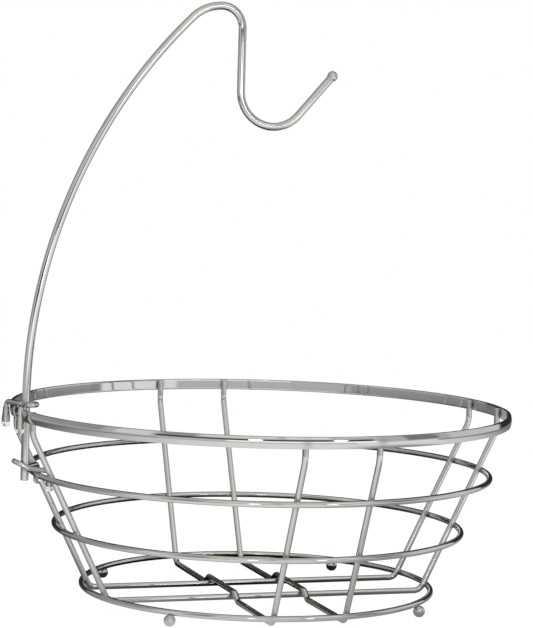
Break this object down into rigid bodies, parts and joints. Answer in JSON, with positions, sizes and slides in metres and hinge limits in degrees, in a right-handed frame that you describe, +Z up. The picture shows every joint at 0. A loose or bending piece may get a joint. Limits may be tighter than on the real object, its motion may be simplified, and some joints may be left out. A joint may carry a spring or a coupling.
{
  "type": "fruit bowl with hanger",
  "caption": "Round chromed wire fruit bowl on ball feet, with a bent rod hanger clipped to its side whose hook holds a bunch of fruit over the bowl.",
  "frame": {"origin": "the bowl's axis at table level, where the ball feet stand", "axes": "+Z up; the hanger's rod stands at -X and its hook lies over the axis; the part is symmetric about the XZ plane"},
  "size_m": [0.3093, 0.305, 0.3616],
  "materials": {
    "chromed_band": "bright chromed steel band",
    "chromed_wire": "bright chromed steel wire, welded before plating",
    "chromed_rod": "bright chromed steel rod",
    "clear_vinyl": "soft clear vinyl, slightly yellow"
  },
  "bodies": {
    "root": {"rim_band": "chromed_band", "upper_ring": "chromed_wire", "middle_ring": "chromed_wire", "base_ring": "chromed_wire", "cross_wire_front": "chromed_wire", "cross_wire_back": "chromed_wire", "stepped_wire_left": "chromed_wire", "stepped_wire_right": "chromed_wire", "foot_front_left": "chromed_wire", "foot_front_right": "chromed_wire", "foot_back_left": "chromed_wire", "foot_back_right": "chromed_wire", "hanger_rod": "chromed_rod", "hook_ball": "chromed_rod", "upper_clip": "chromed_rod", "lower_clip": "chromed_rod", "upper_tip_front": "clear_vinyl", "upper_tip_back": "clear_vinyl", "lower_tip_front": "clear_vinyl", "lower_tip_back": "clear_vinyl"}
  },
  "joints": []
}
